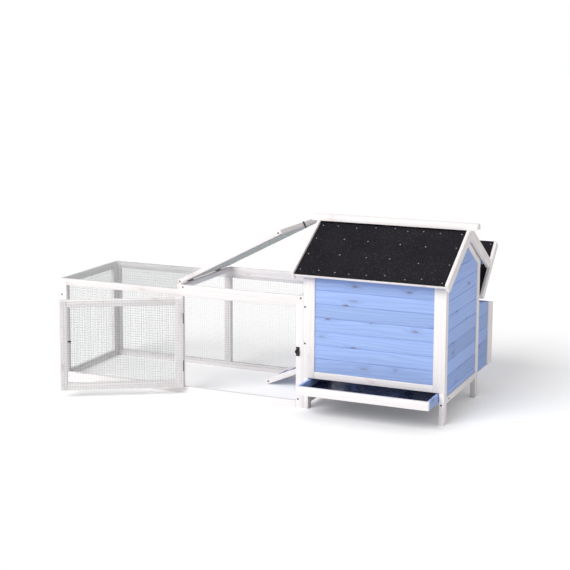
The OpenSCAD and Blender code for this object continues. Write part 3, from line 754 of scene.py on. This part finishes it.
def wire(bm, start, end, radius, wander, seed, pieces):
    """A wire from start to end that strays a little from its line."""
    line = end - start
    place = axis_place((start + end) / 2, line)
    made = bmesh.ops.create_cone(
        bm, cap_ends=True, segments=WIRE_SIDES, radius1=radius, radius2=radius,
        depth=line.length, matrix=place,
    )["verts"]
    if not wander:
        return
    edges = {e for v in made for e in v.link_edges}
    sides = [e for e in edges if e.calc_length() > 0.5 * line.length]
    cut = bmesh.ops.subdivide_edges(bm, edges=sides, cuts=pieces)
    rings = [v for v in cut["geom_inner"] if isinstance(v, bmesh.types.BMVert)]
    across = place.to_3x3() @ Vector((1, 0, 0)), place.to_3x3() @ Vector((0, 1, 0))
    for v in rings:
        t = (v.co - start).dot(line) / line.length_squared
        stray = noise.noise_vector(Vector((t * 4.0, seed * 7.3, 0.5)))
        v.co += (across[0] * stray.x + across[1] * stray.y * 0.3) * wander


def staple(bm, centre, along, up):
    """A staple's crown, a plain short rod lying over the mesh. It has no legs."""
    made = bmesh.ops.create_cone(
        bm, cap_ends=True, segments=WIRE_SIDES, radius1=STAPLE_R, radius2=STAPLE_R,
        depth=STAPLE_L, matrix=axis_place(centre, along),
    )["verts"]
    bmesh.ops.translate(bm, verts=made, vec=up * STAPLE_LIFT)


class COOP_OT_mesh(bpy.types.Operator):
    """Lays the crossing wires of every welded mesh panel"""

    bl_idname = "coop.mesh"
    bl_label = "Wire mesh"

    def execute(self, context):
        wires = context.scene.coop_wire
        radius = wires.thickness / 2
        for number, node in enumerate(PANELS):
            pose, low, high = flat_panel(node)
            thin = int(np.argmin(high - low))
            a, b = [i for i in range(3) if i != thin]
            middle = (low[thin] + high[thin]) / 2
            bm = bmesh.new()
            for along, across, side in ((a, b, WIRE_LAYER), (b, a, -WIRE_LAYER)):
                count = round((high[across] - low[across]) / wires.pitch)
                step = (high[across] - low[across]) / count
                for i in range(count + 1):
                    ends = []
                    for limit in (low[along], high[along]):
                        p = [0, 0, 0]
                        p[along], p[across] = limit, low[across] + i * step
                        p[thin] = middle + side * radius
                        ends.append(pose @ Vector(p))
                    cuts = max(4, round((high[along] - low[along]) / WIRE_BEND))
                    seed = number * 400 + i + (200 if along == a else 0)
                    wire(bm, ends[0], ends[1], radius, wires.wander, seed, cuts)
            piece = keep_mesh(bm, f"{node}_wires", bpy.data.materials["galvanised wire"], node)
        return {"FINISHED"}


# The thin axis of each panel, and the side of it that its staples lie on
STAPLED = {
    "run_front_mesh": (1, 1), "run_left_mesh": (0, 1), "run_rear_mesh": (1, -1),
    "run_top_mesh": (2, 1), "lid_mesh": (2, -1), "door_mesh": (1, 1),
}


class COOP_OT_staples(bpy.types.Operator):
    """Staples round the edge of every wire panel"""

    bl_idname = "coop.staples"
    bl_label = "Staples"

    def execute(self, context):
        gap = context.scene.coop_wire.staple_gap
        for node, (thin, side) in STAPLED.items():
            pose, low, high = flat_panel(node)
            a, b = [i for i in range(3) if i != thin]
            up = Vector((0, 0, 0))
            up[thin] = side
            draw = random.Random(node)
            bm = bmesh.new()
            for along, across in ((a, b), (b, a)):
                span = high[along] - low[along] - 2 * STAPLE_MARGIN
                count = max(2, round(span / gap))
                for edge, inward in ((low[across], 1), (high[across], -1)):
                    for i in range(count + 1):
                        p = Vector((0, 0, 0))
                        p[along] = low[along] + STAPLE_MARGIN + i * span / count
                        p[along] += draw.uniform(-6, 6) * MM
                        p[across] = edge + inward * draw.uniform(3, 6) * MM
                        face = high[thin] if side > 0 else low[thin]
                        p[thin] = face + side * STAPLE_GAP
                        lie = Vector((0, 0, 0))
                        lie[along], lie[across] = 0.8, draw.uniform(-0.6, 0.6)
                        staple(bm, pose @ p, pose.to_3x3() @ lie.normalized(), pose.to_3x3() @ up)
            metal = bpy.data.materials["galvanised wire"]
            piece = keep_mesh(bm, f"{node}_staples", metal, node, replaces=False)
        return {"FINISHED"}


def nail_head(bm, at, up, radius):
    turned = up.to_track_quat("Z", "Y").to_matrix().to_4x4()
    bmesh.ops.create_icosphere(
        bm, subdivisions=1, radius=radius,
        matrix=Matrix.Translation(at) @ turned @ Matrix.Diagonal((1, 1, 0.32, 1)),
    )


class COOP_OT_nails(bpy.types.Operator):
    """Clout nails over the roof's and the nest lid's felt"""

    bl_idname = "coop.nails"
    bl_label = "Felt nails"

    def execute(self, context):
        fix = context.scene.coop_fixings
        low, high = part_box("roof_felt")
        ridge = (low.y + high.y) / 2
        draw = random.Random(7)
        bm = bmesh.new()
        pitch = math.radians(ROOF_PITCH)
        slope = math.tan(pitch)
        felt = frame["nodes"]["roof_felt"].data.vertices
        peaks = [v.co.y for v in felt if v.co.z > high.z - 0.5 * MM]
        ridge_gap = max(peaks) - ridge
        for side in (-1, 1):
            up = Vector((0, side * math.sin(pitch), math.cos(pitch)))
            run = (high.y - low.y) / 2
            span = high.x - low.x - 2 * NAIL_MARGIN
            for row in range(fix.nail_rows):
                part = NAIL_ROWS[row % len(NAIL_ROWS)]
                columns = 9 if row in (0, 3) else 6
                for i in range(columns):
                    x = low.x + NAIL_MARGIN + span * i / (columns - 1)
                    x += draw.uniform(-18, 18) * MM * (0 < i < columns - 1)
                    reach = run * (1 - part) + draw.uniform(-9, 9) * MM
                    z = high.z - slope * (reach - ridge_gap)
                    at = Vector((x, ridge + side * reach, z)) + up * 0.2 * MM
                    nail_head(bm, at, up, fix.nail_r)
        metal = bpy.data.materials["nail heads"]
        piece = keep_mesh(bm, "roof_felt_nails", metal, "roof_felt", replaces=False)
        pose, low, high = flat_panel("nest_lid_felt")
        up = pose.to_3x3() @ Vector((0, 0, 1))
        span = high[0] - low[0] - 2 * NAIL_MARGIN
        bm = bmesh.new()
        for y in (low[1] + 50 * MM, high[1] - NAIL_MARGIN):
            for i in range(8):
                x = low[0] + NAIL_MARGIN + span * i / 7 + draw.uniform(-9, 9) * MM
                nail_head(bm, pose @ Vector((x, y, high[2] + 0.2 * MM)), up, fix.nail_r)
        piece = keep_mesh(bm, "nest_felt_nails", metal, "nest_lid_felt", replaces=False)
        return {"FINISHED"}


class COOP_OT_stage(bpy.types.Operator):
    """Floor, light and camera"""

    bl_idname = "coop.stage"
    bl_label = "Stage"

    def execute(self, context):
        scene = context.scene
        bm = bmesh.new()
        bmesh.ops.create_grid(bm, x_segments=4, y_segments=4, size=40)
        mesh = bpy.data.meshes.new("floor")
        bm.to_mesh(mesh)
        bm.free()
        floor = bpy.data.objects.new("floor", mesh)
        scene.collection.objects.link(floor)
        material, tree, shader = new_material("pale floor")
        place = node_of(tree, "ShaderNodeTexCoord")
        faint = noise_of(tree, place.outputs["Object"], 1.5, 2.0)
        tree.links.new(
            mix_colour(tree, faint.outputs[0], (0.93, 0.93, 0.935), (0.95, 0.95, 0.95)),
            shader.inputs["Base Color"],
        )
        shader.inputs["Roughness"].default_value = 0.9
        shader.inputs["Specular IOR Level"].default_value = 0.1
        # Seen directly, the floor glows a little, as an over-lit studio sweep does
        seen = node_of(tree, "ShaderNodeLightPath")
        shader.inputs["Emission Color"].default_value = (1, 1, 1, 1)
        tree.links.new(
            math_node(tree, "MULTIPLY", seen.outputs["Is Camera Ray"], FLOOR_GLOW),
            shader.inputs["Emission Strength"],
        )
        floor.data.materials.append(material)

        world = bpy.data.worlds.new("studio")
        scene.world = world
        world.use_nodes = True
        tree = world.node_tree
        tree.nodes.clear()
        out = node_of(tree, "ShaderNodeOutputWorld")
        lit = node_of(tree, "ShaderNodeBackground", Color=(1.0, 0.99, 0.985, 1))
        lit.inputs["Strength"].default_value = WORLD_STRENGTH
        seen = node_of(tree, "ShaderNodeBackground", Color=(1, 1, 1, 1), Strength=1.0)
        path = node_of(tree, "ShaderNodeLightPath")
        both = node_of(tree, "ShaderNodeMixShader")
        tree.links.new(path.outputs["Is Camera Ray"], both.inputs[0])
        tree.links.new(lit.outputs[0], both.inputs[1])
        tree.links.new(seen.outputs[0], both.inputs[2])
        tree.links.new(both.outputs[0], out.inputs[0])

        for name, energy, aim, size in SUNS:
            data = bpy.data.lights.new(name, "SUN")
            data.energy = energy
            data.angle = math.radians(size)
            lamp = bpy.data.objects.new(name, data)
            scene.collection.objects.link(lamp)
            lamp.rotation_euler = Vector(aim).to_track_quat("-Z", "Y").to_euler()

        yaw, tilt, roll = (math.radians(v) for v in CAMERA_TURNS)
        level = math.cos(tilt)
        ahead = Vector((-math.sin(yaw) * level, math.cos(yaw) * level, math.sin(tilt)))
        right = Vector((math.cos(yaw), math.sin(yaw), 0))
        up = right.cross(ahead)
        right, up = (
            right * math.cos(roll) + up * math.sin(roll),
            up * math.cos(roll) - right * math.sin(roll),
        )
        data = bpy.data.cameras.new("camera")
        data.sensor_width = 36
        data.lens = CAMERA_LENS
        data.shift_x, data.shift_y = CAMERA_SHIFT
        data.clip_end = 200
        camera = bpy.data.objects.new("camera", data)
        scene.collection.objects.link(camera)
        camera.matrix_world = Matrix.Translation(CAMERA_AT) @ Matrix(
            (right, up, -ahead)
        ).transposed().to_4x4()
        scene.camera = camera
        scene.view_settings.view_transform = "Standard"
        return {"FINISHED"}


OPERATORS = (
    COOP_OT_finishes, COOP_OT_timber, COOP_OT_felt, COOP_OT_ironwork, COOP_OT_screws,
    COOP_OT_mesh, COOP_OT_staples, COOP_OT_nails, COOP_OT_stage,
)
SETTINGS = (CoopFinish, CoopWire, CoopFixings)


class COOP_PT_panel(bpy.types.Panel):
    """Shows the coop's settings and a button for each step"""

    bl_idname = "COOP_PT_panel"
    bl_label = "Chicken coop"
    bl_space_type = "VIEW_3D"
    bl_region_type = "UI"
    bl_category = "Coop"

    def draw(self, context):
        scene = context.scene
        for group in (scene.coop_finish, scene.coop_wire, scene.coop_fixings):
            for key in group.bl_rna.properties.keys():
                if key not in ("rna_type", "name"):
                    self.layout.prop(group, key)
        for operator in OPERATORS:
            self.layout.operator(operator.bl_idname)


def register():
    for cls in (*SETTINGS, *OPERATORS, COOP_PT_panel):
        bpy.utils.register_class(cls)
    bpy.types.Scene.coop_finish = PointerProperty(type=CoopFinish)
    bpy.types.Scene.coop_wire = PointerProperty(type=CoopWire)
    bpy.types.Scene.coop_fixings = PointerProperty(type=CoopFixings)


def unregister():
    del bpy.types.Scene.coop_fixings, bpy.types.Scene.coop_wire, bpy.types.Scene.coop_finish
    for cls in reversed((*SETTINGS, *OPERATORS, COOP_PT_panel)):
        bpy.utils.unregister_class(cls)


def main():
    register()
    for operator in OPERATORS:
        group, name = operator.bl_idname.split(".")
        getattr(getattr(bpy.ops, group), name)()


if __name__ == "__main__":
    main()
